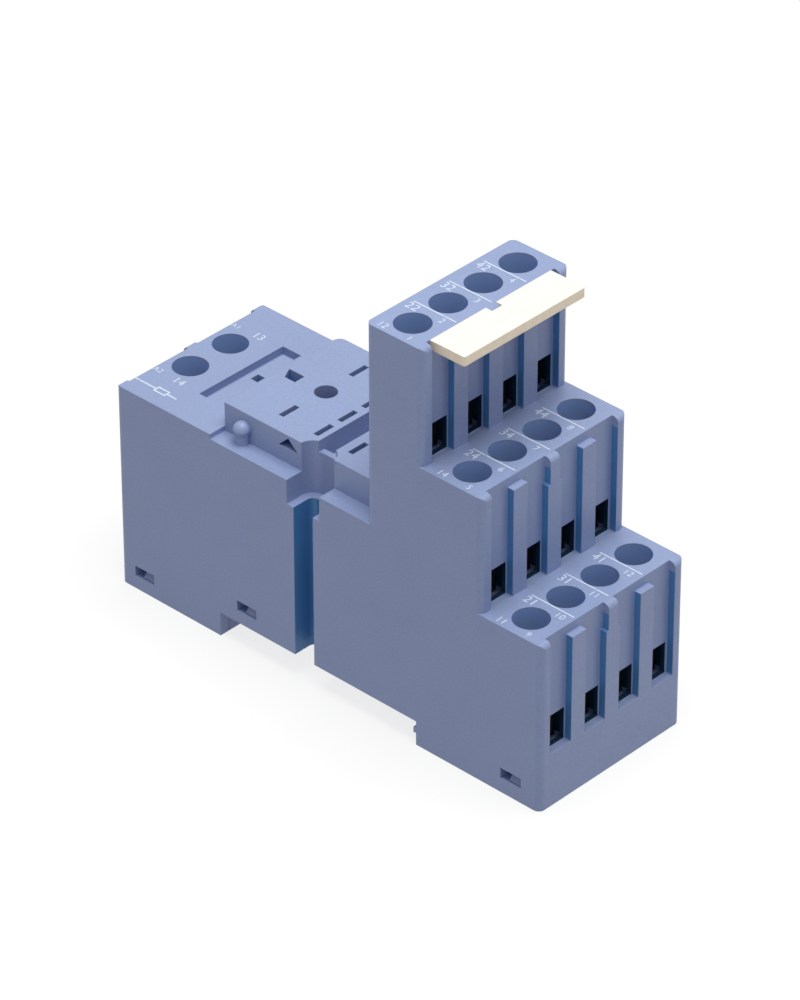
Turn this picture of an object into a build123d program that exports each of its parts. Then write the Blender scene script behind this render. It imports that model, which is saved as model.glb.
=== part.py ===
"""Plug-in relay socket for a 35 mm rail: fourteen rising-cage screw terminals on three steps and a coil block.

Millimetres. Origin at the centre of the footprint, on the face that sits against a panel.
+X points from the coil block to the stepped end, +Z up, out of the panel.
"""

import os
from dataclasses import dataclass

from build123d import *

# Housing outline, with places along the housing measured from its coil end
length = 76.6
width = 27.5
coil_block_length = 17.7
coil_block_top = 31.8
seat_height = 35.5
seat_width = 21.8
seat_corner_radius = 1.2
ledge_height = 31.05
tower_depth = 9.85
tier_count = 3
tier_pitch = 17.75
tier_step = 10.33
lowest_tier_top = 26.15
corner_radius = 1.0
step_edge_radius = 0.8
outer_wall = 1.55
inner_wall = 1.2

# Ribbed front faces
column_count = 4
terminal_pitch = 6.55
front_side_wall = 1.8
rib_width = 2.6
rib_depth = 1.1
coil_rib_depth = 0.85
nub_width = 1.8
nub_height = 4.0

# Terminal screws
thread_diameter = 3.0
thread_pitch = 0.5
clamp_turns = 7
head_diameter = 4.6
head_height = 1.8
driver_slot_width = 0.8
driver_slot_length = 3.4
driver_slot_depth = 1.0
seat_gap = 0.05
thread_fit = 0.05
thread_sides = 10

# Clamp cages
cage_length = 4.6
cage_width = 4.2
cage_top_wall = 1.4
cage_bottom_wall = 0.7
cage_side_wall = 0.6
cage_gap = 0.1
cage_headroom = 0.25
cage_side_gap = 0.2
clamp_spare = 0.45

# Terminals, measured down from the top of their step
screw_setback = 5.35
coil_screw_setback = 4.2
coil_terminal_pitch = 7.6
screw_hole_diameter = 5.05
web_opening = 3.4
tongue_depth = 13.2
window_height = 4.9
window_width = 3.6
window_wall = 0.8

# Relay seat
pin_pitch = 4.5
coil_pin_spacing = 13.2
coil_pin_row = 25.35
pin_rows = (31.8, 38.05, 42.45)
pin_slot_thickness = 0.85
pin_slot_width = 3.1
panel_hole_position = 25.7
panel_hole_diameter = 3.2
channel_width = 3.15
channel_depth = 3.3
channel_end_wall = 0.9
channel_end_drop = 1.7

# Clip notches in both sides and the pegs beside them
notch_position = 34.675
notch_width = 5.9
notch_depth = 4.85
notch_radius = 2.2
notch_shoulder = 1.2
notch_shoulder_height = 27.3
peg_position = 21.4
peg_offset = 0.55
peg_stem_radius = 0.95
peg_stem_height = 1.3
peg_height = 2.1
peg_radius = 1.22

# Small recesses in the coil block and the seat
groove_position = 9.8
groove_width = 1.5
groove_depth = 1.2
groove_near_end = -7.75
groove_far_end = 8.15
groove_leg = 3.4
index_hole_position = 12.85
index_hole_offset = 0.22
index_hole_length = 1.3
index_hole_width = 1.45
key_hole_position = 19.2
key_hole_length = 1.9
key_hole_skew = 0.9
key_hole_width = 1.85
blind_hole_depth = 3.0
mark_position = 27.6
mark_length = 3.5
mark_height = 1.65
mark_apex = 1.75
mark_base = 33.4
mark_depth = 3.0

# Contact strips
strip_thickness = 0.7
strip_width = 2.4
lane_clearance = 0.2
tongue_reach = 2.2
run_heights = {1: 18.0, 2: 21.9}
jog_start = 43.8
jog_end = 46.8
coil_jog_start = 18.3
coil_jog_end = 10.3
fork_base = 24.5
fork_height = 7.0
fork_half_width = 0.95
fork_blade = 0.35
fork_pinch = 0.28
fork_mouth = 0.5
fork_lead_in = 1.2
fork_straight = 3.0
pocket_clearance = 0.3
pocket_headroom = 0.1
bay_start = 30.3

# Rail recess and base cover
rail_recess_start = 18.95
rail_recess_length = 35.9
rail_roof = 3.75
rail_hook_reach = 0.47
rail_hook_top = 2.7
rail_hook_bottom = 1.85
cover_thickness = 1.75
coil_foot_floor = 3.6
end_wall = 1.5
foot_wall = 1.8
cover_clearance = 0.1
catch_length = 3.6
catch_height = 1.65
catch_places = ((4.55, 2.05), (23.95, 5.65), (71.55, 2.2))
catch_tab_thickness = 1.2
catch_tab_rise = 0.3
barb_share = 0.62
barb_reach = 1.3

# Rail latch and its spring
latch_width = 8.0
latch_nose_width = 6.0
latch_tail_width = 4.6
latch_thickness = 1.9
latch_bottom = 0.75
latch_reach = 1.05
latch_travel = 1.3
latch_bevel = 1.0
latch_gap = 0.15
latch_tail_start = 2.0
latch_body_start = 3.4
latch_grip_width = 2.4
latch_grip_length = 0.9
spring_thickness = 0.2
spring_height = 1.2
spring_spread = 1.7
spring_folds = 5
spring_window_width = 2.4
spring_window_start = 5.3
spring_window_end = 12.0
spring_post_length = 1.0

# Marker plate
marker_length = 22.6
marker_width = 5.95
marker_thickness = 1.4
marker_clearance = 0.05
marker_corner = 0.3
marker_tongue_length = 4.0
marker_tongue_thickness = 0.8
marker_tongue_width = 3.2

# Planes of the housing
coil_end = -length / 2
tower_end = length / 2
side = width / 2
seat_start = coil_end + coil_block_length
notch_x = coil_end + notch_position
rail_start = coil_end + rail_recess_start
rail_end = rail_start + rail_recess_length
left_foot_wall = rail_start - foot_wall
right_foot_wall = rail_end + foot_wall

# Depths that follow from the clamp's own stack, measured down from the top of a step
clamp_travel = clamp_turns * thread_pitch
wire_space = clamp_travel + clamp_spare
tongue_top_depth = tongue_depth - strip_thickness / 2
window_top_depth = tongue_top_depth - cage_gap
chamber_top_depth = window_top_depth - cage_top_wall - clamp_travel - cage_headroom
head_seat_depth = chamber_top_depth - inner_wall
wire_floor_depth = tongue_depth + strip_thickness / 2 + wire_space
chamber_depth = wire_floor_depth + cage_bottom_wall + cage_side_gap
chamber_width = cage_width + 2 * cage_side_gap
riser_setback = cage_length / 2 + cage_side_gap + strip_thickness / 2
chamber_back = riser_setback + strip_thickness / 2 + cage_gap
lane_half_width = strip_width / 2 + lane_clearance

upright = (Align.CENTER, Align.CENTER, Align.MIN)


@dataclass
class Terminal:
    """One screw terminal: its screw axis, step height and the way its wire window faces, and its pin slot."""

    name: str
    x: float
    y: float
    top: float
    facing: int
    face: float
    rib_depth: float
    pin_x: float
    pin_y: float
    run_height: float | None
    jog: tuple


def tier_top(tier):
    """Height of a step, where tier 0 is the lowest."""
    return lowest_tier_top + tier * tier_pitch


def tier_front(tier):
    """Foremost plane of a step."""
    return tower_end - tier * tier_step


def spread(index, count, pitch):
    """Place of one item in a row that is centred on zero."""
    return (index - (count - 1) / 2) * pitch


def list_terminals():
    """All terminals, tier by tier from the lowest, and then those of the coil."""
    found = []
    for tier in range(tier_count):
        for column in range(column_count):
            found.append(
                Terminal(
                    name=f"{tier + 1}_{column + 1}",
                    x=tier_front(tier) - screw_setback,
                    y=spread(column, column_count, terminal_pitch),
                    top=tier_top(tier),
                    facing=1,
                    face=tier_front(tier),
                    rib_depth=rib_depth,
                    pin_x=coil_end + pin_rows[tier],
                    pin_y=spread(column, column_count, pin_pitch),
                    run_height=run_heights.get(tier),
                    jog=(coil_end + jog_start, coil_end + jog_end),
                )
            )
    for column in range(2):
        found.append(
            Terminal(
                name=f"coil_{column + 1}",
                x=coil_end + coil_screw_setback,
                y=spread(column, 2, coil_terminal_pitch),
                top=coil_block_top,
                facing=-1,
                face=coil_end,
                rib_depth=coil_rib_depth,
                pin_x=coil_end + coil_pin_row,
                pin_y=spread(column, 2, coil_pin_spacing),
                run_height=None,
                jog=(coil_end + coil_jog_start, coil_end + coil_jog_end),
            )
        )
    return found


def box_between(x_range, y_range, z_range, mode=Mode.ADD):
    """Box that spans a range along each axis."""
    ranges = (x_range, y_range, z_range)
    centre = [sum(span) / 2 for span in ranges]
    sizes = [abs(span[1] - span[0]) for span in ranges]
    with Locations(tuple(centre)):
        Box(*sizes, mode=mode)


def around(centre, half):
    """Range that reaches the same way to both sides of a place."""
    return (centre - half, centre + half)


def bore(x, y, bottom, radius, height):
    """Round hole that starts at a height and goes up."""
    with Locations((x, y, bottom)):
        Cylinder(radius, height, align=upright, mode=Mode.SUBTRACT)


def strip_path(terminal):
    """Centre line of a contact strip in the XZ plane, from under its fork to the tip of its tongue."""
    tongue = terminal.top - tongue_depth
    tip = terminal.x + terminal.facing * tongue_reach
    points = [(terminal.pin_x, fork_base)]
    if terminal.run_height is None:
        points.append((terminal.pin_x, tongue))
    else:
        riser = terminal.x - riser_setback
        points.append((terminal.pin_x, terminal.run_height))
        points.append((riser, terminal.run_height))
        points.append((riser, tongue))
    points.append((tip, tongue))
    return points


def plan_band(terminal, start, end, half_width):
    """Band in plan that steps sideways from the pin's column to the terminal's column."""
    route = [
        (start, terminal.pin_y),
        (terminal.jog[0], terminal.pin_y),
        (terminal.jog[1], terminal.y),
        (end, terminal.y),
    ]
    near_edge = [(x, y - half_width) for x, y in route]
    far_edge = [(x, y + half_width) for x, y in reversed(route)]
    with BuildSketch() as band:
        with BuildLine():
            Polyline(near_edge + far_edge, close=True)
        make_face()
    return band.sketch


def notch_plan(shoulder):
    """Clip notches of both sides in plan, drawn in by a shoulder."""
    with BuildSketch() as plan:
        with Locations((notch_x, -side - 1)):
            Rectangle(
                notch_width - 2 * shoulder,
                notch_depth - shoulder + 1,
                align=(Align.CENTER, Align.MIN),
            )
        inner_corners = plan.vertices().group_by(Axis.Y)[-1]
        fillet(inner_corners, notch_radius - shoulder)
        mirror(about=Plane.XZ)
    return plan.sketch


def fork_profile():
    """Half of a fork in the XZ plane: one spring blade that pinches the relay's pin and flares at the mouth."""
    pinch = fork_height - fork_lead_in
    inner = fork_half_width - fork_blade
    with BuildSketch() as blade:
        with BuildLine():
            Polyline(
                (0, 0),
                (fork_half_width, 0),
                (fork_half_width, fork_straight),
                (fork_pinch + fork_blade, pinch),
                (fork_mouth + fork_blade, fork_height),
                (fork_mouth, fork_height),
                (fork_pinch, pinch),
                (inner, fork_straight),
                (inner, fork_blade),
                (0, fork_blade),
                close=True,
            )
        make_face()
    return blade.sketch


def front_panels(face, top, ribs):
    """Recessed panels of a front face, with ribs between them and a nub on the middle rib."""
    plane = Plane(origin=(face, 0, 0), x_dir=(0, 1, 0), z_dir=(1, 0, 0))
    bottom = top - tier_pitch
    with BuildSketch(plane) as panels:
        with Locations((0, bottom)):
            Rectangle(width - 2 * front_side_wall, tier_pitch + 1, align=(Align.CENTER, Align.MIN))
            Rectangle(nub_width, tier_pitch + 2, align=(Align.CENTER, Align.MIN), mode=Mode.SUBTRACT)
        for rib in ribs:
            drop = nub_height if rib == 0 else marker_thickness
            with Locations((rib, bottom)):
                Rectangle(rib_width, tier_pitch - drop, align=(Align.CENTER, Align.MIN), mode=Mode.SUBTRACT)
    return panels.sketch


def lane_solid(terminal):
    """Close lane that a contact strip lies in."""
    with BuildPart() as lane:
        with BuildSketch(Plane.XZ):
            with BuildLine():
                Polyline(strip_path(terminal))
            trace(line_width=strip_thickness + 2 * lane_clearance)
        extrude(amount=side, both=True)
        start = terminal.pin_x - terminal.facing * (strip_thickness / 2 + lane_clearance)
        end = terminal.x + terminal.facing * cage_length / 2
        extrude(
            plan_band(terminal, start, end, lane_half_width),
            amount=tier_top(tier_count),
            mode=Mode.INTERSECT,
        )
    return lane.part


def cut_terminals(group):
    """Screw holes, clamp chambers and wire windows of terminals that face the same way."""
    first = group[0]
    reach = abs(first.face - first.x) - first.rib_depth - window_wall
    chamber_middle = first.facing * (reach - chamber_back) / 2
    window_middle = first.facing * (reach + window_wall / 2)
    with Locations([(terminal.x, terminal.y, terminal.top - head_seat_depth) for terminal in group]):
        Cylinder(screw_hole_diameter / 2, head_seat_depth + 1, align=upright, mode=Mode.SUBTRACT)
    with Locations([(terminal.x, terminal.y, terminal.top - chamber_top_depth) for terminal in group]):
        Box(web_opening, web_opening, inner_wall, align=upright, mode=Mode.SUBTRACT)
    with Locations(
        [(terminal.x + chamber_middle, terminal.y, terminal.top - chamber_depth) for terminal in group]
    ):
        Box(
            reach + chamber_back,
            chamber_width,
            chamber_depth - chamber_top_depth,
            align=upright,
            mode=Mode.SUBTRACT,
        )
    with Locations(
        [
            (terminal.x + window_middle, terminal.y, terminal.top - window_top_depth - window_height)
            for terminal in group
        ]
    ):
        Box(2 * window_wall, window_width, window_height, align=upright, mode=Mode.SUBTRACT)


tower_back = tier_front(tier_count - 1) - tower_depth
terminals = list_terminals()
tier_ribs = [spread(rib, column_count - 1, terminal_pitch) for rib in range(column_count - 1)]
catches = [(coil_end + place, base, flank) for place, base in catch_places for flank in (-1, 1)]
lanes = [lane_solid(terminal) for terminal in terminals]
tier_terminals = terminals[: tier_count * column_count]
coil_terminals = terminals[tier_count * column_count :]
bay_end = tier_front(0) - screw_setback - chamber_back - inner_wall
bay_top = tier_top(1) - chamber_depth - inner_wall
coil_bay_end = coil_end + coil_screw_setback + chamber_back + inner_wall
coil_bay_top = coil_block_top - tongue_top_depth + lane_clearance
rail_outline = [
    (rail_start, 0),
    (rail_start, rail_roof),
    (rail_end, rail_roof),
    (rail_end, rail_hook_top),
    (rail_end - rail_hook_reach, rail_hook_top),
    (rail_end - rail_hook_reach, rail_hook_bottom),
    (rail_end, rail_hook_bottom),
    (rail_end, 0),
]

# Housing
with BuildPart() as housing:
    step_outline = []
    for tier in range(tier_count):
        floor = tier_top(tier - 1) if tier else 0
        step_outline.append((tier_front(tier), floor))
        step_outline.append((tier_front(tier), tier_top(tier)))
    top_outline = [
        (tower_back, tier_top(tier_count - 1)),
        (tower_back, seat_height),
        (seat_start, seat_height),
        (seat_start, coil_block_top),
        (coil_end, coil_block_top),
        (coil_end, 0),
    ]
    with BuildSketch(Plane.XZ):
        with BuildLine():
            Polyline(rail_outline + step_outline + top_outline, close=True)
        make_face()
    extrude(amount=side, both=True)

    # Ledges along both sides of the relay seat
    for flank in (-1, 1):
        box_between(
            (seat_start, tower_back),
            (flank * seat_width / 2, flank * (side + 1)),
            (ledge_height, seat_height + 1),
            Mode.SUBTRACT,
        )

    # Rounded vertical corners, and rounded top edges over the wire windows
    corner_planes = [coil_end, tower_back] + [tier_front(tier) for tier in range(tier_count)]
    corners = [
        edge
        for edge in housing.edges().filter_by(Axis.Z)
        if abs(abs(edge.center().Y) - side) < 0.01
        and min(abs(edge.center().X - plane) for plane in corner_planes) < 0.01
    ]
    fillet(corners, corner_radius)
    top_edges = [(tier_front(tier), tier_top(tier), 1) for tier in range(tier_count)]
    top_edges.append((coil_end, coil_block_top, -1))
    with BuildSketch(Plane.XZ):
        for x, top, facing in top_edges:
            with Locations((x - facing * step_edge_radius / 2, top - step_edge_radius / 2)):
                Rectangle(step_edge_radius, step_edge_radius)
            with Locations((x - facing * step_edge_radius, top - step_edge_radius)):
                Circle(step_edge_radius, mode=Mode.SUBTRACT)
    extrude(amount=side + 1, both=True, mode=Mode.SUBTRACT)

    # Rounded far corner of the relay seat
    with BuildSketch(Plane.XY.offset(coil_block_top)):
        with Locations((seat_start, seat_width / 2)):
            Rectangle(seat_corner_radius, seat_corner_radius, align=(Align.MIN, Align.MAX))
        with Locations((seat_start + seat_corner_radius, seat_width / 2 - seat_corner_radius)):
            Circle(seat_corner_radius, mode=Mode.SUBTRACT)
    extrude(amount=seat_height, mode=Mode.SUBTRACT)

    # Clip notches, wider above a shoulder
    extrude(notch_plan(notch_shoulder), amount=seat_height + 1, mode=Mode.SUBTRACT)
    wide_notches = notch_plan(0).moved(Location((0, 0, notch_shoulder_height)))
    extrude(wide_notches, amount=seat_height, mode=Mode.SUBTRACT)

    # Channel across the relay seat, closed at both ends by a lower wall
    channel_reach = side - notch_depth - channel_end_wall
    box_between(
        around(notch_x, channel_width / 2),
        around(0, channel_reach),
        (seat_height - channel_depth, seat_height + 1),
        Mode.SUBTRACT,
    )
    box_between(
        around(notch_x, channel_width / 2),
        around(0, side),
        (seat_height - channel_end_drop, seat_height + 1),
        Mode.SUBTRACT,
    )

    # Pegs that the relay's retaining clip turns on, with a round knob on a thinner stem
    for flank in (-1, 1):
        peg_y = flank * (seat_width / 2 + peg_offset)
        with Locations((coil_end + peg_position, peg_y, ledge_height)):
            Cylinder(peg_stem_radius, peg_stem_height, align=upright)
        with Locations((coil_end + peg_position, peg_y, ledge_height + peg_stem_height)):
            Cone(peg_stem_radius, peg_radius, peg_height - peg_stem_height, align=upright)
        with Locations((coil_end + peg_position, peg_y, ledge_height + peg_height)):
            Sphere(peg_radius, arc_size1=0, arc_size2=90, align=Align.NONE)

    # Ribbed front faces of the steps and of the coil block
    for tier in range(tier_count):
        panels = front_panels(tier_front(tier), tier_top(tier), tier_ribs)
        extrude(panels, amount=-rib_depth, mode=Mode.SUBTRACT)
    extrude(front_panels(coil_end, coil_block_top, [0]), amount=coil_rib_depth, mode=Mode.SUBTRACT)

    # Cavity that the base cover closes
    cavity_roof = rail_roof + cover_thickness + cover_clearance
    cavity_step = left_foot_wall - cover_clearance
    foot_pocket_top = coil_block_top - chamber_depth - inner_wall
    with BuildSketch(Plane.XZ):
        with BuildLine():
            Polyline(
                (coil_end + end_wall, -1),
                (coil_end + end_wall, foot_pocket_top),
                (cavity_step, foot_pocket_top),
                (cavity_step, cavity_roof),
                (tower_end - end_wall, cavity_roof),
                (tower_end - end_wall, -1),
                close=True,
            )
        make_face()
    extrude(amount=side - outer_wall, both=True, mode=Mode.SUBTRACT)

    # Bays that the contact strips run through, open to the cavity
    with BuildSketch() as tier_bays:
        for terminal in terminals[:column_count]:
            add(plan_band(terminal, coil_end + bay_start, bay_end, lane_half_width))
    extrude(tier_bays.sketch, amount=bay_top, mode=Mode.SUBTRACT)
    with BuildSketch() as coil_bays:
        for terminal in coil_terminals:
            add(plan_band(terminal, terminal.pin_x + fork_half_width, coil_bay_end, lane_half_width))
    extrude(coil_bays.sketch, amount=coil_bay_top, mode=Mode.SUBTRACT)

    cut_terminals(tier_terminals)
    cut_terminals(coil_terminals)
    add(lanes, mode=Mode.SUBTRACT)

    # Slots in the seat for the relay's pins, and pockets for the forks below them
    pocket_base = fork_base - strip_thickness
    pocket_top = fork_base + fork_height + pocket_headroom
    with Locations([(terminal.pin_x, terminal.pin_y, pocket_base) for terminal in terminals]):
        Box(
            2 * (fork_half_width + pocket_clearance),
            2 * lane_half_width,
            pocket_top - pocket_base,
            align=upright,
            mode=Mode.SUBTRACT,
        )
    with Locations([(terminal.pin_x, terminal.pin_y, pocket_top) for terminal in terminals]):
        Box(pin_slot_thickness, pin_slot_width, seat_height, align=upright, mode=Mode.SUBTRACT)

    # Panel screw hole down the middle
    bore(coil_end + panel_hole_position, 0, 0, panel_hole_diameter / 2, seat_height + 1)

    # Groove, index hole and key hole in the top
    groove_x = coil_end + groove_position
    groove_levels = (coil_block_top - groove_depth, coil_block_top + 1)
    box_between(
        (groove_x, groove_x + groove_width),
        (groove_near_end, groove_far_end),
        groove_levels,
        Mode.SUBTRACT,
    )
    box_between(
        (groove_x, groove_x + groove_leg),
        (groove_far_end - groove_width, groove_far_end),
        groove_levels,
        Mode.SUBTRACT,
    )
    box_between(
        around(coil_end + index_hole_position, index_hole_length / 2),
        around(index_hole_offset, index_hole_width / 2),
        (coil_block_top - blind_hole_depth, coil_block_top + 1),
        Mode.SUBTRACT,
    )
    with BuildSketch(Plane.XY.offset(seat_height)) as key_hole:
        with BuildLine():
            key_x = coil_end + key_hole_position
            key_near = -index_hole_offset - key_hole_width / 2
            key_far = -index_hole_offset + key_hole_width / 2
            Polyline(
                (key_x, key_near),
                (key_x + key_hole_length, key_near),
                (key_x + key_hole_length, key_far),
                (key_x - key_hole_skew, key_far),
                close=True,
            )
        make_face()
    extrude(key_hole.sketch, amount=blind_hole_depth, both=True, mode=Mode.SUBTRACT)

    # Triangular mark in both sides of the seat
    mark_x = coil_end + mark_position
    with BuildSketch(Plane.XZ) as mark:
        with BuildLine():
            Polyline(
                (mark_x, mark_base),
                (mark_x + mark_length, mark_base),
                (mark_x + mark_apex, mark_base + mark_height),
                close=True,
            )
        make_face()
    for flank in (-1, 1):
        placed_mark = mark.sketch.moved(Location((0, flank * seat_width / 2, 0)))
        extrude(placed_mark, amount=mark_depth, both=True, mode=Mode.SUBTRACT)

    # Windows for the catches of the base cover, and room for their tabs
    wall_inside = side - outer_wall
    tab_room = wall_inside - catch_tab_thickness - 2 * cover_clearance
    for x, base, flank in catches:
        box_between(
            around(x, catch_length / 2),
            (flank * tab_room, flank * (side + 1)),
            (base, base + catch_height),
            Mode.SUBTRACT,
        )
        box_between(
            around(x, catch_length / 2),
            (flank * tab_room, flank * wall_inside),
            (base - cover_clearance, base + catch_height + 2 * catch_tab_rise),
            Mode.SUBTRACT,
        )

    # Opening in the end wall for the tail of the rail latch
    box_between(
        (coil_end - 1, coil_end + end_wall + 1),
        around(0, latch_tail_width / 2 + latch_gap),
        (-1, latch_bottom + latch_thickness + latch_gap),
        Mode.SUBTRACT,
    )
housing.part.label = "housing"


# Base cover, with barbed tabs in the housing's windows and a tunnel for the rail latch
with BuildPart() as base_cover:
    cover_left = coil_end + end_wall + cover_clearance
    cover_right = tower_end - end_wall - cover_clearance
    upper_outline = [
        (cover_right, 0),
        (cover_right, cover_thickness),
        (right_foot_wall, cover_thickness),
        (right_foot_wall, rail_roof + cover_thickness),
        (left_foot_wall, rail_roof + cover_thickness),
        (left_foot_wall, coil_foot_floor),
        (cover_left, coil_foot_floor),
        (cover_left, 0),
    ]
    with BuildSketch(Plane.XZ):
        with BuildLine():
            Polyline(rail_outline + upper_outline, close=True)
        make_face()
    cover_side = side - outer_wall - cover_clearance
    extrude(amount=cover_side, both=True)
    extrude(notch_plan(notch_shoulder), amount=seat_height, mode=Mode.SUBTRACT)
    bore(coil_end + panel_hole_position, 0, 0, panel_hole_diameter / 2, seat_height)

    # Tunnel of the latch, with a mouth for its nose and one for its tail
    tunnel_levels = (latch_bottom - latch_gap, latch_bottom + latch_thickness + latch_gap)
    body_room_start = coil_end + latch_body_start - latch_travel - latch_gap
    box_between(
        (body_room_start, left_foot_wall),
        around(0, latch_width / 2 + latch_gap),
        tunnel_levels,
        Mode.SUBTRACT,
    )
    box_between(
        (left_foot_wall, rail_start + 1),
        around(0, latch_nose_width / 2 + latch_gap),
        tunnel_levels,
        Mode.SUBTRACT,
    )
    box_between(
        (coil_end, body_room_start),
        around(0, latch_tail_width / 2 + latch_gap),
        tunnel_levels,
        Mode.SUBTRACT,
    )

    # Post that the latch spring pushes against
    post_start = coil_end + spring_window_start + 2 * latch_gap
    post_end = post_start + spring_post_length
    box_between(
        (post_start, post_end),
        around(0, spring_window_width / 2 - latch_gap),
        (0, coil_foot_floor),
    )

    # Tabs with barbs that slope outwards and down to a flat catch
    for x, base, flank in catches:
        tab_base = coil_foot_floor if x < rail_start else cover_thickness
        if rail_start < x < rail_end:
            tab_base = rail_roof + cover_thickness
        box_between(
            around(x, catch_length / 2 - 2 * cover_clearance),
            (flank * (cover_side - catch_tab_thickness), flank * cover_side),
            (tab_base - 1, base + catch_height + catch_tab_rise),
        )
        barb_length = barb_share * catch_length
        barb_end = x + catch_length / 2 - cover_clearance
        with BuildSketch(Plane.YZ.offset(barb_end - barb_length)) as barb:
            with BuildLine():
                Polyline(
                    (flank * cover_side, base + cover_clearance),
                    (flank * (cover_side + barb_reach), base + cover_clearance),
                    (flank * cover_side, base + catch_height - cover_clearance),
                    close=True,
                )
            make_face()
        extrude(amount=barb_length)
base_cover.part.label = "base_cover"


# Rail latch: a flat slide with a bevelled nose, a window for its spring and a slot for a screwdriver
with BuildPart() as rail_latch:
    latch_middle = coil_end + latch_body_start
    latch_stop = left_foot_wall - seat_gap
    latch_tip = rail_start + latch_reach
    with BuildSketch(Plane.XY.offset(latch_bottom)):
        with Locations((latch_middle, 0)):
            Rectangle(latch_stop - latch_middle, latch_width, align=(Align.MIN, Align.CENTER))
            Rectangle(
                latch_body_start - latch_tail_start, latch_tail_width, align=(Align.MAX, Align.CENTER)
            )
            Rectangle(latch_tip - latch_middle, latch_nose_width, align=(Align.MIN, Align.CENTER))
        window_length = spring_window_end - spring_window_start
        with Locations((coil_end + spring_window_start, 0)):
            Rectangle(
                window_length, spring_window_width, align=(Align.MIN, Align.CENTER), mode=Mode.SUBTRACT
            )
        with Locations((coil_end + latch_tail_start, 0)):
            Rectangle(2 * latch_grip_length, latch_grip_width, mode=Mode.SUBTRACT)
    extrude(amount=latch_thickness)
    nose_edge = rail_latch.edges().filter_by(Axis.Y).group_by(Axis.X)[-1].sort_by(Axis.Z)[0]
    chamfer(nose_edge, latch_bevel)
rail_latch.part.label = "rail_latch"


# Zigzag spring of flat steel between the post and the latch
with BuildPart() as latch_spring:
    spring_start = post_end + cover_clearance + spring_thickness / 2
    spring_end = coil_end + spring_window_end - cover_clearance - spring_thickness / 2
    fold_length = (spring_end - spring_start) / spring_folds
    swing = (spring_spread - spring_thickness) / 2
    zigzag = [(spring_start, -swing)]
    for fold in range(spring_folds + 1):
        zigzag.append((spring_start + fold * fold_length, swing if fold % 2 == 0 else -swing))
    zigzag.append((spring_end, -zigzag[-1][1]))
    with BuildSketch(Plane.XY.offset(latch_bottom + (latch_thickness - spring_height) / 2)):
        with BuildLine():
            Polyline(zigzag)
        trace(line_width=spring_thickness)
    extrude(amount=spring_height)
latch_spring.part.label = "latch_spring"


# Marker plate, which rests on the outer ribs of the top step and hooks round its nub
with BuildPart() as marker_plate:
    marker_tier = tier_count - 1
    marker_back = tier_front(marker_tier) - rib_depth + marker_clearance
    marker_base = tier_top(marker_tier) - marker_thickness + marker_clearance
    with BuildSketch(Plane.XY.offset(marker_base)):
        with Locations((marker_back, 0)):
            Rectangle(marker_width, marker_length, align=(Align.MIN, Align.CENTER))
            Rectangle(
                rib_depth, nub_width + 2 * marker_clearance, align=(Align.MIN, Align.CENTER), mode=Mode.SUBTRACT
            )
    extrude(amount=marker_thickness)
    for flank in (-1, 1):
        box_between(
            (marker_back, marker_back + marker_tongue_thickness),
            around(flank * terminal_pitch / 2, marker_tongue_width / 2),
            (marker_base - marker_tongue_length, marker_base),
        )
    plate_corners = marker_plate.edges().filter_by(Axis.Z).group_by(Axis.X)[-1]
    fillet(plate_corners, marker_corner)
marker_plate.part.label = "marker_plate"


def terminal_screw(terminal):
    """Headed screw with a cross slot, its head on the web and its tip on the strip's tongue."""
    head_seat = terminal.top - head_seat_depth + seat_gap
    tip = terminal.top - tongue_top_depth + seat_gap
    place = Location((terminal.x, terminal.y))
    with BuildPart() as screw:
        with BuildSketch(Plane.XY.offset(tip)):
            with Locations(place):
                RegularPolygon(thread_diameter / 2, thread_sides)
        extrude(amount=head_seat - tip)
        with BuildSketch(Plane.XY.offset(head_seat)):
            with Locations(place):
                Circle(head_diameter / 2)
        extrude(amount=head_height)
        with BuildSketch(Plane.XY.offset(head_seat + head_height)):
            with Locations(place):
                Rectangle(driver_slot_length, driver_slot_width)
                Rectangle(driver_slot_width, driver_slot_length)
        extrude(amount=-driver_slot_depth, mode=Mode.SUBTRACT)
    return screw.part


def clamp_cage(terminal):
    """Box frame that the screw lifts, open to the wire window, drawn fully lowered."""
    window_top = terminal.top - window_top_depth
    wire_floor = terminal.top - wire_floor_depth
    bottom = wire_floor - cage_bottom_wall
    with BuildPart() as cage:
        with BuildSketch(Plane.YZ.offset(terminal.x - cage_length / 2)):
            with Locations((terminal.y, bottom)):
                Rectangle(
                    cage_width, window_top + cage_top_wall - bottom, align=(Align.CENTER, Align.MIN)
                )
            with Locations((terminal.y, wire_floor)):
                Rectangle(
                    cage_width - 2 * cage_side_wall,
                    window_top - wire_floor,
                    align=(Align.CENTER, Align.MIN),
                    mode=Mode.SUBTRACT,
                )
        extrude(amount=cage_length)
        with BuildSketch(Plane.XY.offset(window_top + cage_top_wall)) as hole:
            with Locations((terminal.x, terminal.y)):
                RegularPolygon(thread_diameter / 2 + thread_fit, thread_sides, major_radius=False)
        extrude(hole.sketch, amount=-cage_top_wall, mode=Mode.SUBTRACT)
    return cage.part


def contact_strip(terminal):
    """Bent strip with a fork for the relay's pin at one end and a tongue in the clamp cage at the other."""
    with BuildPart() as strip:
        with BuildSketch(Plane.XZ):
            with BuildLine():
                Polyline(strip_path(terminal))
            trace(line_width=strip_thickness)
            with Locations((terminal.pin_x, fork_base)):
                blade = fork_profile()
                add(blade)
                add(blade.mirror(Plane.YZ))
        extrude(amount=side, both=True)
        start = terminal.pin_x - terminal.facing * fork_half_width
        end = terminal.x + terminal.facing * tongue_reach
        extrude(
            plan_band(terminal, start, end, strip_width / 2),
            amount=tier_top(tier_count),
            mode=Mode.INTERSECT,
        )
    return strip.part


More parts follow.
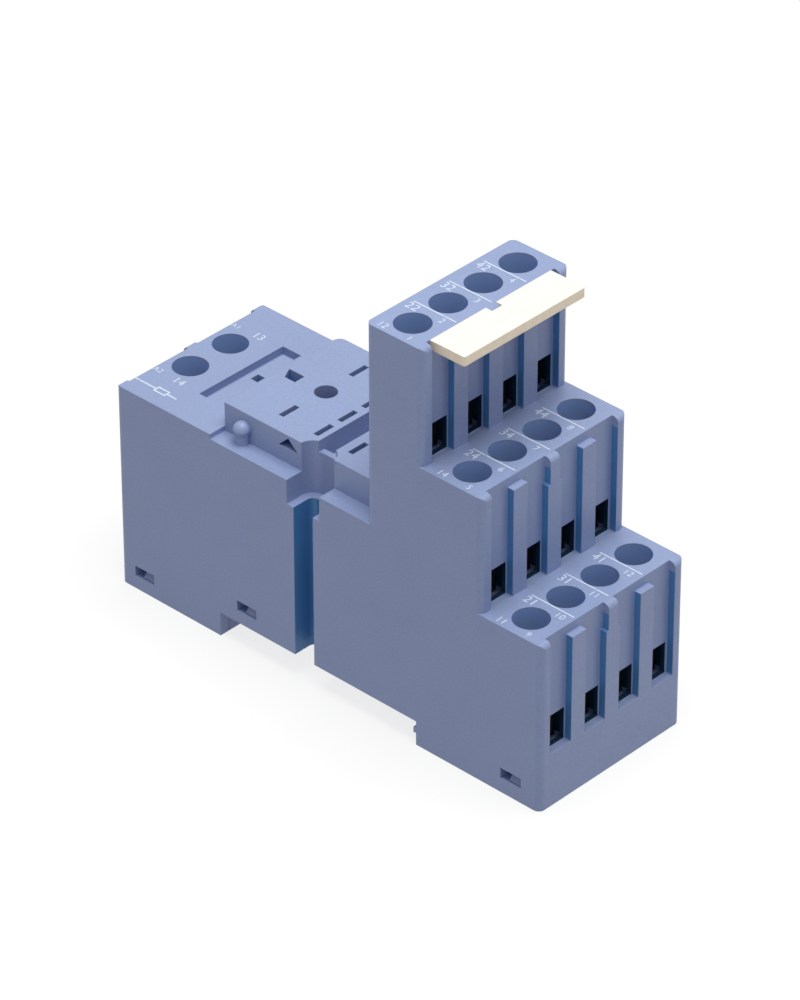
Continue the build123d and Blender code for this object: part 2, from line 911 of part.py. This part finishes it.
os.makedirs("parts", exist_ok=True)
for piece in (housing, base_cover, rail_latch, latch_spring, marker_plate):
    export_step(piece.part, f"parts/{piece.part.label}.step")

makers = {"terminal_screw": terminal_screw, "clamp_cage": clamp_cage, "contact_strip": contact_strip}
for kind, make in makers.items():
    for terminal in terminals:
        piece = make(terminal)
        piece.label = f"{kind}_{terminal.name}"
        export_step(piece, f"parts/{piece.label}.step")
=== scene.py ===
import math

import bmesh
import bpy
from mathutils import Matrix, Vector


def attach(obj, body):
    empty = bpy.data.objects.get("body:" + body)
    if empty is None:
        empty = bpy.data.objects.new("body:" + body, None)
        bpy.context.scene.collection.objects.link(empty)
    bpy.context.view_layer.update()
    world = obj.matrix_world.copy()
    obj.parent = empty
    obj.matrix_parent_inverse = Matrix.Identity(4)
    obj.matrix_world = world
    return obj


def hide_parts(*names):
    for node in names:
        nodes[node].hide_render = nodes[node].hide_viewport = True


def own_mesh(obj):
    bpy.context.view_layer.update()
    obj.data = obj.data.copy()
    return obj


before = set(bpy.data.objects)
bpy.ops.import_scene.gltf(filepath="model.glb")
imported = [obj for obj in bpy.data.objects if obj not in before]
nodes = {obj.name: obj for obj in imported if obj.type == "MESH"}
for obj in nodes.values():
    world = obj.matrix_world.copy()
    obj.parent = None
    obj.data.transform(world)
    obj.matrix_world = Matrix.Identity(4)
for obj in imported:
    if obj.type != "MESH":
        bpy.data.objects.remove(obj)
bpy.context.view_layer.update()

MM = 0.001

# Camera, fitted to the photograph
AZIMUTH = math.radians(43.357)
ELEVATION = math.radians(34.213)
ROLL = math.radians(-0.095)
TARGET = Vector((2.0, 0.0, 25.0)) * MM
DISTANCE = 789.083 * MM
SIDEWAYS = 0.902 * MM
UPWARDS = -0.067 * MM
FOCAL_PIXELS = 6016.379
IMAGE_WIDTH = 800
SENSOR_WIDTH = 36.0
NEAREST = 0.05
FARTHEST = 20.0

# Studio, in metres and watts
WORLD_TINT = (0.96, 0.98, 1.06, 1.0)
WORLD_STRENGTH = 0.41
WORLD_STRENGTH_SEEN = 1.0
KEY_PLACE = (0.09, -0.01, 0.75)
KEY_TARGET = (0.0, 0.0, 0.02)
KEY_WIDTH = 0.5
KEY_POWER = 5.1
KEY_COLOUR = (1.0, 1.0, 0.9)
FLOOR_RADIUS = 2.5
FLOOR_SIDES = 64
FLOOR_DROP = 0.02 * MM
FLOOR_GREY = 0.2
FLOOR_GLOW = 0.26
FLOOR_GLOW_SEEN = 0.79

# Housing, in millimetres, as far as the shading and the printing follow it
HALF_LENGTH = 38.3
TIER_TOPS = (26.15, 43.9, 61.65)
TIER_FRONTS = (38.3, 27.97, 17.64)
COLUMNS = (-9.825, -3.275, 3.275, 9.825)
HALF_PITCH = 3.275
SCREW_SETBACK = 5.35
RIB_DEPTH = 1.1
COIL_TOP = 31.8
COIL_HOLES = (-3.8, 3.8)
COIL_SCREW_SETBACK = 4.2
COIL_RIB_DEPTH = 0.85

# Boxes inside which the housing gets painted shade, in millimetres: how far each reaches from its
# centre along the axes, and how deep the centre lies below the top. The skin keeps a box off the
# faces beside it.
SKIN = 0.03
CHAMBER_REACH = (4.0, 12.3, 4.87)
CHAMBER_DEPTH = 12.8
HOLE_REACH = (2.6, 12.4, 4.0)
HOLE_DEPTH = 4.2
RIB_REACH = (RIB_DEPTH / 2 - SKIN, 12.1, 8.05)
RIB_CENTRE_DEPTH = 9.55
NOTCH_CENTRE = (-3.625, 11.8, 13.6)
NOTCH_REACH = (1.8, 1.9, 13.6)

# Folded spring of the rail latch, in millimetres
SPRING_START = -31.5
SPRING_END = -26.5
SPRING_FOLDS = 5
SPRING_SWING = 1.0
SPRING_BEND = 0.3
SPRING_BEND_STEPS = 6
SPRING_THICKNESS = 0.2
SPRING_LEVELS = (1.1, 2.3)

# Colours, and the painted shade that the plastic's colour takes where light gets in less
BLACK = (0.0, 0.0, 0.0, 1.0)
WHITE = (1.0, 1.0, 1.0, 1.0)
BLUE = (0.243, 0.304, 0.522)
SHADE_BLUE = (0.06, 0.275, 0.62)
FLANK_SHADE_TINT = (0.45, 0.72, 0.75)
FLANK_SHADE_SHARE = 0.8
HOLE_SHADE_TINT = (1.04, 1.24, 1.3)
CHAMBER_SHADE = 0.1
HOLLOW_WIDTH = 4.0
DUST_SHARE = 0.02

# Rounding of the edges, in millimetres, and depth of the grain
PLASTIC_EDGE = 0.14
METAL_EDGE = 0.08
LABEL_EDGE = 0.1
PLASTIC_GRAIN = (0.15, 0.012)
METAL_GRAIN = (0.2, 0.006)
LABEL_GRAIN = (0.2, 0.01)

# Between these limits of a value a shade goes from its first to its last
GENTLE = (0.3, 0.7)
CLOUDY = (0.35, 0.65)
STREAKY = (0.4, 0.6)
SPECKLED = (0.42, 0.58)
PATCHY = (0.3, 0.44)
NEARLY_CLOSED = (0.0, 0.2)
TURNED_EDGE = (0.8, 0.99)
FACING_UP = (0.75, 0.95)

# Printing, in millimetres: each mark as its setback from the edge, its shift across and its size
INK = 0.02
INK_LIFT = 0.004
GLYPH_STEPS = 4
GLYPH_SPACING = 1.05
CONTACT_MARKS = (("11", "21", "31", "41"), ("14", "24", "34", "44"), ("12", "22", "32", "42"))
MARKS_BESIDE_LINES = ((8.0, -0.5, 2.0), (3.0, -0.45, 1.5))
MARKS_WITHOUT_LINE = ((7.8, 0.35, 1.6), (3.2, 0.35, 1.4))
LINE_ENDS = (8.8, 1.5)
LINE_EDGES = (0.5, 0.7)
COIL_MARKS = (("14", "A2"), ("13", "A1"))
COIL_MARK_PLACES = ((5.8, 3.8, 1.9), (1.7, 3.6, 1.3))
SYMBOL_STEPS = (0.9, 4.7, 6.9, 8.6)
SYMBOL_LEAD = (-10.95, -10.7)
SYMBOL_BOX = (-11.4, -10.2)
SYMBOL_LINE = 0.25


def add_object(name, data):
    """Object in the scene."""
    made = bpy.data.objects.new(name, data)
    bpy.context.scene.collection.objects.link(made)
    return made


def look():
    """Camera at the photograph's place and angle."""
    back = Vector(
        (
            math.sin(AZIMUTH) * math.cos(ELEVATION),
            -math.cos(AZIMUTH) * math.cos(ELEVATION),
            math.sin(ELEVATION),
        )
    )
    level = Vector((math.cos(AZIMUTH), math.sin(AZIMUTH), 0.0))
    upright = back.cross(level)
    right = math.cos(ROLL) * level + math.sin(ROLL) * upright
    up = back.cross(right)
    data = bpy.data.cameras.new("camera")
    data.sensor_fit = "HORIZONTAL"
    data.sensor_width = SENSOR_WIDTH
    data.lens = FOCAL_PIXELS * SENSOR_WIDTH / IMAGE_WIDTH
    data.clip_start = NEAREST
    data.clip_end = FARTHEST
    camera = add_object("camera", data)
    turn = Matrix((right, up, back)).transposed().to_4x4()
    place = TARGET + back * DISTANCE - right * SIDEWAYS - up * UPWARDS
    camera.matrix_world = Matrix.Translation(place) @ turn
    bpy.context.scene.camera = camera


def new_material(name):
    """Material with its node tree and its main shader."""
    material = bpy.data.materials.new(name)
    material.use_nodes = True
    tree = material.node_tree
    return material, tree, tree.nodes["Principled BSDF"]


def node(tree, kind, **settings):
    """Node of a kind, with its named inputs or settings set."""
    made = tree.nodes.new(kind)
    for key, value in settings.items():
        label = key.replace("_", " ")
        if label in made.inputs:
            made.inputs[label].default_value = value
        else:
            setattr(made, key, value)
    return made


def feed(tree, value, socket):
    """Gives a socket its value, which is plain or comes from another socket."""
    if isinstance(value, bpy.types.NodeSocket):
        tree.links.new(value, socket)
    else:
        socket.default_value = value


def arithmetic(tree, operation, first, second):
    """Result of an operation on two values, each a socket or a plain number."""
    made = node(tree, "ShaderNodeMath", operation=operation)
    feed(tree, first, made.inputs[0])
    feed(tree, second, made.inputs[1])
    return made.outputs[0]


def mix(tree, factor, first, second):
    """Mix of two colours, each a socket or a plain colour."""
    made = node(tree, "ShaderNodeMix", data_type="RGBA")
    feed(tree, factor, made.inputs[0])
    feed(tree, first, made.inputs[6])
    feed(tree, second, made.inputs[7])
    return made.outputs[2]


def ramp(tree, source, limits, first=BLACK, last=WHITE):
    """Colour that goes from the first to the last between two limits of a value."""
    made = node(tree, "ShaderNodeValToRGB")
    for element, limit, colour in zip(made.color_ramp.elements, limits, (first, last)):
        element.position = limit
        element.color = colour
    tree.links.new(source, made.inputs["Fac"])
    return made.outputs["Color"]


def noise(tree, scale, detail=4.0, roughness=0.55, stretch=(1, 1, 1)):
    """Noise in the object's own coordinates, with scale in cycles per millimetre."""
    where = node(tree, "ShaderNodeTexCoord")
    mapping = node(tree, "ShaderNodeMapping")
    mapping.inputs["Scale"].default_value = Vector(stretch) * scale / MM
    texture = node(tree, "ShaderNodeTexNoise", Scale=1.0, Detail=detail, Roughness=roughness)
    tree.links.new(where.outputs["Object"], mapping.inputs["Vector"])
    tree.links.new(mapping.outputs["Vector"], texture.inputs["Vector"])
    return texture.outputs["Fac"]


def rounded_edges(tree, radius):
    """Normal whose edges look rounded by a radius in millimetres."""
    bevel = node(tree, "ShaderNodeBevel", samples=6)
    bevel.inputs["Radius"].default_value = radius * MM
    return bevel.outputs["Normal"]


def edge_mask(tree, rounded):
    """White where a rounded normal turns away from the face."""
    shape = node(tree, "ShaderNodeNewGeometry")
    turned = node(tree, "ShaderNodeVectorMath", operation="DOT_PRODUCT")
    tree.links.new(rounded, turned.inputs[0])
    tree.links.new(shape.outputs["Normal"], turned.inputs[1])
    return ramp(tree, turned.outputs["Value"], TURNED_EDGE, WHITE, BLACK)


def openness(tree, reach):
    """One on open faces, falling towards zero in hollows narrower than the reach."""
    hollow = node(tree, "ShaderNodeAmbientOcclusion", samples=8, only_local=True)
    hollow.inputs["Distance"].default_value = reach * MM
    return hollow.outputs["AO"]


def inside_boxes(tree, boxes):
    """One inside any of some boxes, each given as a centre and a reach in millimetres."""
    where = node(tree, "ShaderNodeTexCoord")
    parts = node(tree, "ShaderNodeSeparateXYZ")
    tree.links.new(where.outputs["Object"], parts.inputs["Vector"])
    total = 0.0
    for centre, reach in boxes:
        product = 1.0
        for value, middle, half in zip(parts.outputs, centre, reach):
            inside = node(tree, "ShaderNodeMath", operation="COMPARE")
            tree.links.new(value, inside.inputs[0])
            inside.inputs[1].default_value = middle * MM
            inside.inputs[2].default_value = half * MM
            product = arithmetic(tree, "MULTIPLY", product, inside.outputs[0])
        total = arithmetic(tree, "ADD", total, product)
    return total


def clamp_chambers():
    """Boxes round the chambers behind the wire windows, where little light gets in."""
    rows = [(front - RIB_DEPTH - SKIN, -1, top) for front, top in zip(TIER_FRONTS, TIER_TOPS)]
    rows.append((-HALF_LENGTH + COIL_RIB_DEPTH + SKIN, 1, COIL_TOP))
    boxes = []
    for start, inward, top in rows:
        centre = (start + inward * CHAMBER_REACH[0], 0.0, top - CHAMBER_DEPTH)
        boxes.append((centre, CHAMBER_REACH))
    return boxes


def driver_holes():
    """Boxes round the holes over the screws, whose walls are painted with a greener shade colour than
    the tops.
    """
    rows = [(front - SCREW_SETBACK, top) for front, top in zip(TIER_FRONTS, TIER_TOPS)]
    rows.append((-HALF_LENGTH + COIL_SCREW_SETBACK, COIL_TOP))
    return [((row, 0.0, top - HOLE_DEPTH), HOLE_REACH) for row, top in rows]


def shaded_flanks():
    """Boxes round the flanks of the ribs and round the narrow part of the clip notches, which get a
    dark teal painted shade.
    """
    boxes = []
    for front, top in zip(TIER_FRONTS, TIER_TOPS):
        boxes.append(((front - RIB_DEPTH / 2, 0.0, top - RIB_CENTRE_DEPTH), RIB_REACH))
    x, y, z = NOTCH_CENTRE
    for flank in (-1, 1):
        boxes.append(((x, flank * y, z), NOTCH_REACH))
    return boxes


def grey(value):
    """Grey of a brightness."""
    return (value, value, value, 1.0)


def shade(colour, factor):
    """Colour made lighter or darker."""
    return (*(min(1.0, part * factor) for part in colour), 1.0)


def tint(colour, factors):
    """Colour with each of its parts made stronger or weaker."""
    return (*(part * factor for part, factor in zip(colour, factors)), 1.0)


def finish_surface(tree, shader, gloss, roughness, bumps, grain, rounded):
    """Uneven gloss between two roughnesses, and grain of a strength and depth over rounded edges."""
    smooth, rough = roughness
    uneven = ramp(tree, gloss, GENTLE, grey(smooth), grey(rough))
    tree.links.new(uneven, shader.inputs["Roughness"])
    strength, depth = grain
    bump = node(tree, "ShaderNodeBump", Strength=strength, Distance=depth * MM)
    tree.links.new(bumps, bump.inputs["Height"])
    tree.links.new(rounded, bump.inputs["Normal"])
    tree.links.new(bump.outputs["Normal"], shader.inputs["Normal"])


def plastic(name, colour, deep, roughness=0.42, patches=0.02, edge_light=1.25):
    """Moulded plastic with fine grain, faint flow patches and dust, painted highlight with light wear
    on its edges, and painted shade in hollows, on rib flanks, in screw holes and in chambers.
    """
    material, tree, shader = new_material(name)
    flow = ramp(tree, noise(tree, scale=0.09, detail=5.0), CLOUDY)
    speck = ramp(tree, noise(tree, scale=3.2, detail=2.0), SPECKLED)
    body = mix(tree, flow, shade(colour, 1 - patches), shade(colour, 1 + patches))
    dusted = mix(tree, DUST_SHARE, body, speck)
    # Painted shade: faces in hollows narrower than the hollow width take the deep colour.
    open_face = ramp(tree, openness(tree, HOLLOW_WIDTH), NEARLY_CLOSED)
    hollow_shaded = mix(tree, open_face, shade(deep, 1.0), dusted)
    # Painted shade: dark teal on the rib flanks and in the narrow part of the clip notches.
    flank = arithmetic(tree, "MULTIPLY", inside_boxes(tree, shaded_flanks()), FLANK_SHADE_SHARE)
    flank_shaded = mix(tree, flank, hollow_shaded, tint(deep, FLANK_SHADE_TINT))
    # Painted shade: the walls of the screw holes take a greener tint of the body colour.
    hole_shaded = mix(tree, inside_boxes(tree, driver_holes()), flank_shaded, tint(colour, HOLE_SHADE_TINT))
    rounded = rounded_edges(tree, PLASTIC_EDGE)
    # Painted highlight on the edges, with some wear: the edge colour is lighter by edge_light.
    wear_and_highlight = mix(tree, edge_mask(tree, rounded), hole_shaded, shade(colour, edge_light))
    # Painted shade: the chambers behind the wire windows go nearly black.
    inner = mix(tree, inside_boxes(tree, clamp_chambers()), wear_and_highlight, shade(deep, CHAMBER_SHADE))
    tree.links.new(inner, shader.inputs["Base Color"])
    gloss = noise(tree, scale=0.35, detail=3.0)
    bumps = noise(tree, scale=6.0, detail=3.0, roughness=0.7)
    limits = (roughness - 0.04, roughness + 0.06)
    finish_surface(tree, shader, gloss, limits, bumps, PLASTIC_GRAIN, rounded)
    return material


def metal(name, colour, roughness, scratch=(1, 1, 1)):
    """Plated or rolled metal with fine scratches, faint staining and edges lightened as painted
    highlight with some wear.
    """
    material, tree, shader = new_material(name)
    shader.inputs["Metallic"].default_value = 1.0
    stain = ramp(tree, noise(tree, scale=0.5, detail=6.0), CLOUDY)
    body = mix(tree, stain, shade(colour, 0.85), shade(colour, 1.0))
    rounded = rounded_edges(tree, METAL_EDGE)
    # Painted highlight on the edges, with some wear.
    wear_and_highlight = mix(tree, edge_mask(tree, rounded), body, shade(colour, 1.15))
    tree.links.new(wear_and_highlight, shader.inputs["Base Color"])
    gloss = noise(tree, scale=1.2, detail=6.0, stretch=scratch)
    bumps = noise(tree, scale=4.0, detail=5.0, stretch=scratch)
    limits = (roughness - 0.07, roughness + 0.1)
    finish_surface(tree, shader, gloss, limits, bumps, METAL_GRAIN, rounded)
    return material


def paint(name, colour, worn_through):
    """Thin pad-printed ink, a little broken by the grain beneath it."""
    material, tree, shader = new_material(name)
    patches = ramp(tree, noise(tree, scale=2.6), PATCHY)
    tree.links.new(mix(tree, patches, worn_through, colour), shader.inputs["Base Color"])
    gloss = ramp(tree, noise(tree, scale=1.5), GENTLE, grey(0.45), grey(0.6))
    tree.links.new(gloss, shader.inputs["Roughness"])
    return material


def label_plastic(name, face, edge):
    """White marker plastic: clean printable faces and cream cut edges."""
    material, tree, shader = new_material(name)
    shape = node(tree, "ShaderNodeNewGeometry")
    parts = node(tree, "ShaderNodeSeparateXYZ")
    tree.links.new(shape.outputs["Normal"], parts.inputs["Vector"])
    upward = ramp(tree, parts.outputs["Z"], FACING_UP)
    streak = ramp(tree, noise(tree, scale=0.25, detail=5.0, stretch=(1, 5, 1)), STREAKY)
    top = mix(tree, streak, shade(face, 0.97), shade(face, 1.0))
    rim = mix(tree, ramp(tree, noise(tree, scale=0.8), CLOUDY), shade(edge, 0.93), shade(edge, 1.04))
    tree.links.new(mix(tree, upward, rim, top), shader.inputs["Base Color"])
    bumps = noise(tree, scale=5.0, detail=3.0)
    rounded = rounded_edges(tree, LABEL_EDGE)
    finish_surface(tree, shader, noise(tree, scale=0.6), (0.38, 0.5), bumps, LABEL_GRAIN, rounded)
    return material


def glyphs(text, size):
    """Flat mesh of a short text, centred on its own origin."""
    curve = bpy.data.curves.new("glyphs", "FONT")
    curve.body = text
    curve.size = size * MM
    curve.align_x = "CENTER"
    curve.align_y = "CENTER"
    curve.extrude = INK / 2 * MM
    curve.resolution_u = GLYPH_STEPS
    curve.space_character = GLYPH_SPACING
    carrier = bpy.data.objects.new("glyphs", curve)
    mesh = bpy.data.meshes.new_from_object(carrier)
    bpy.data.objects.remove(carrier)
    bpy.data.curves.remove(curve)
    return mesh


class Print:
    """Ink on one level surface, gathered into one mesh, with places in millimetres."""

    def __init__(self, name, level):
        self.name = name
        self.level = level
        self.mesh = bmesh.new()

    def place(self, x, y):
        """Matrix that puts a flat mark on the surface."""
        return Matrix.Translation(Vector((x, y, self.level + INK / 2 + INK_LIFT)) * MM)

    def text(self, text, x, y, size):
        """Digits or letters that read from the side with the lower Y."""
        flat = glyphs(text, size)
        flat.transform(self.place(x, y))
        self.mesh.from_mesh(flat)
        bpy.data.meshes.remove(flat)

    def bar(self, x_range, y_range):
        """Straight bar of ink."""
        x = sum(x_range) / 2
        y = sum(y_range) / 2
        size = Vector((x_range[1] - x_range[0], y_range[1] - y_range[0], INK)) * MM
        matrix = self.place(x, y) @ Matrix.Diagonal((*size, 1.0))
        bmesh.ops.create_cube(self.mesh, size=1.0, matrix=matrix)

    def frame(self, x_range, y_range, line):
        """Outline of a rectangle."""
        self.bar(x_range, (y_range[0], y_range[0] + line))
        self.bar(x_range, (y_range[1] - line, y_range[1]))
        inner = (y_range[0] + line, y_range[1] - line)
        self.bar((x_range[0], x_range[0] + line), inner)
        self.bar((x_range[1] - line, x_range[1]), inner)

    def finish(self, material):
        """Piece that rides on the housing."""
        data = bpy.data.meshes.new(self.name)
        self.mesh.to_mesh(data)
        self.mesh.free()
        data.materials.append(material)
        piece = add_object(self.name, data)
        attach(piece, "socket")


def print_tiers(material):
    """Lines between the terminals, the contact's mark behind each hole and the pin's before it."""
    for tier, (front, top) in enumerate(zip(TIER_FRONTS, TIER_TOPS)):
        sheet = Print(f"print_tier_{tier + 1}", top)
        line_start, line_end = (front - setback for setback in LINE_ENDS)
        first_pin = (len(TIER_TOPS) - 1 - tier) * len(COLUMNS) + 1
        for column, y in enumerate(COLUMNS):
            boundary = y - HALF_PITCH
            places = MARKS_WITHOUT_LINE
            if column:
                places = MARKS_BESIDE_LINES
                low, high = (boundary + edge for edge in LINE_EDGES)
                sheet.bar((line_start, line_end), (low, high))
            marks = (CONTACT_MARKS[tier][column], str(first_pin + column))
            for mark, (setback, shift, size) in zip(marks, places):
                sheet.text(mark, front - setback, boundary + shift, size)
        sheet.finish(material)


def print_coil(material):
    """Marks beside the coil's holes, and a coil's symbol near the edge."""
    sheet = Print("print_coil", COIL_TOP)
    for y, marks in zip(COIL_HOLES, COIL_MARKS):
        outward = math.copysign(1.0, y)
        for mark, (setback, shift, size) in zip(marks, COIL_MARK_PLACES):
            sheet.text(mark, -HALF_LENGTH + setback, y + outward * shift, size)
    start, box_start, box_end, end = (-HALF_LENGTH + step for step in SYMBOL_STEPS)
    sheet.bar((start, box_start), SYMBOL_LEAD)
    sheet.frame((box_start, box_end), SYMBOL_BOX, SYMBOL_LINE)
    sheet.bar((box_end, end), SYMBOL_LEAD)
    sheet.finish(material)


def spring_path():
    """Middle line of the folded spring, with rounded bends."""
    corners = [Vector((SPRING_START, -SPRING_SWING))]
    for fold in range(SPRING_FOLDS + 1):
        x = SPRING_START + (SPRING_END - SPRING_START) * fold / SPRING_FOLDS
        corners.append(Vector((x, -math.copysign(SPRING_SWING, corners[-1].y))))
    corners.append(Vector((SPRING_END, -corners[-1].y)))
    path = [corners[0]]
    for before, corner, after in zip(corners, corners[1:], corners[2:]):
        start = corner + (before - corner).normalized() * SPRING_BEND
        end = corner + (after - corner).normalized() * SPRING_BEND
        for count in range(SPRING_BEND_STEPS + 1):
            share = count / SPRING_BEND_STEPS
            path.append(start.lerp(corner, share).lerp(corner.lerp(end, share), share))
    path.append(corners[-1])
    return path


def folded_spring(material):
    """Flat folded spring, put in place of the latch's own spring, riding on the housing."""
    path = spring_path()
    shape = bmesh.new()
    rings = []
    low, high = SPRING_LEVELS
    for behind, point, ahead in zip([path[0]] + path, path, path[1:] + [path[-1]]):
        along = (ahead - behind).normalized()
        across = Vector((-along.y, along.x)) * SPRING_THICKNESS / 2
        left, right = point - across, point + across
        outline = ((left, low), (right, low), (right, high), (left, high))
        rings.append([shape.verts.new(Vector((*flat, z)) * MM) for flat, z in outline])
    for first, second in zip(rings, rings[1:]):
        for near in range(len(first)):
            far = (near + 1) % len(first)
            shape.faces.new((first[near], first[far], second[far], second[near]))
    shape.faces.new(rings[0])
    shape.faces.new(rings[-1])
    bmesh.ops.recalc_face_normals(shape, faces=shape.faces)
    data = bpy.data.meshes.new("folded_spring")
    shape.to_mesh(data)
    shape.free()
    data.materials.append(material)
    piece = add_object("folded_spring", data)
    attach(piece, "socket")
    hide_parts("latch_spring")
    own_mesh(piece)


def seen_directly(tree):
    """One where a ray comes from the camera, a reflection or through glass."""
    path = node(tree, "ShaderNodeLightPath")
    camera, glossy = path.outputs["Is Camera Ray"], path.outputs["Is Glossy Ray"]
    seen = arithmetic(tree, "MAXIMUM", camera, glossy)
    return arithmetic(tree, "MAXIMUM", seen, path.outputs["Is Transmission Ray"])


def set_strength(tree, unseen, seen, socket):
    """Gives a socket one strength as light on the object and another as the background that is seen."""
    span = node(tree, "ShaderNodeMapRange", To_Min=unseen, To_Max=seen)
    tree.links.new(seen_directly(tree), span.inputs["Value"])
    tree.links.new(span.outputs["Result"], socket)


def studio():
    """Soft light all round, a pale floor and one soft box overhead."""
    world = bpy.data.worlds.new("studio")
    bpy.context.scene.world = world
    world.use_nodes = True
    tree = world.node_tree
    background = tree.nodes["Background"]
    sky = mix(tree, seen_directly(tree), WORLD_TINT, WHITE)
    tree.links.new(sky, background.inputs["Color"])
    set_strength(tree, WORLD_STRENGTH, WORLD_STRENGTH_SEEN, background.inputs["Strength"])

    floor_mesh = bpy.data.meshes.new("floor")
    shape = bmesh.new()
    bmesh.ops.create_circle(shape, cap_ends=True, radius=FLOOR_RADIUS, segments=FLOOR_SIDES)
    shape.to_mesh(floor_mesh)
    shape.free()
    material, tree, shader = new_material("floor")
    shader.inputs["Base Color"].default_value = grey(FLOOR_GREY)
    shader.inputs["Roughness"].default_value = 0.9
    shader.inputs["Specular IOR Level"].default_value = 0.0
    shader.inputs["Emission Color"].default_value = WHITE
    set_strength(tree, FLOOR_GLOW, FLOOR_GLOW_SEEN, shader.inputs["Emission Strength"])
    floor_mesh.materials.append(material)
    floor = add_object("floor", floor_mesh)
    floor.location.z = -FLOOR_DROP

    lamp = bpy.data.lights.new("key", "AREA")
    lamp.shape = "RECTANGLE"
    lamp.size = KEY_WIDTH
    lamp.size_y = KEY_WIDTH
    lamp.energy = KEY_POWER
    lamp.color = KEY_COLOUR
    key = add_object("key", lamp)
    place = Vector(KEY_PLACE)
    aim = (Vector(KEY_TARGET) - place).to_track_quat("-Z", "Y")
    key.matrix_world = Matrix.Translation(place) @ aim.to_matrix().to_4x4()


def dress():
    """Materials on the CAD pieces, and the spring and the printing as pieces of their own."""
    black = {"colour": (0.03, 0.031, 0.034), "deep": (0.015, 0.015, 0.017)}
    spring_steel = metal("spring_steel", (0.55, 0.55, 0.56), roughness=0.25)
    finishes = {
        "housing": plastic("blue_grey_plastic", BLUE, SHADE_BLUE),
        "base_cover": plastic("cover_plastic", BLUE, SHADE_BLUE, roughness=0.48, patches=0.03),
        "marker_plate": label_plastic("marker_plastic", (0.79, 0.78, 0.77), (1.0, 0.84, 0.66)),
        "rail_latch": plastic("black_plastic", **black, roughness=0.4, edge_light=1.6),
        "latch_spring": spring_steel,
        "terminal_screw": metal("zinc_plating", (0.26, 0.255, 0.245), roughness=0.46),
        # Painted shade: the cages are coloured nearly black for the dark inside the wire windows, not
        # for their plating.
        "clamp_cage": metal("shaded_cage_metal", (0.05, 0.05, 0.055), roughness=0.5, scratch=(6, 1, 1)),
        "contact_strip": metal("brass", (0.78, 0.6, 0.3), roughness=0.28, scratch=(6, 1, 1)),
    }
    for name, piece in nodes.items():
        kind = next(key for key in finishes if name.startswith(key))
        piece.data.materials.clear()
        piece.data.materials.append(finishes[kind])
    folded_spring(spring_steel)
    ink = paint("white_ink", (0.6, 0.68, 0.84, 1.0), (0.38, 0.45, 0.65, 1.0))
    print_tiers(ink)
    print_coil(ink)


look()
studio()
dress()
bpy.context.scene.view_settings.view_transform = "Standard"
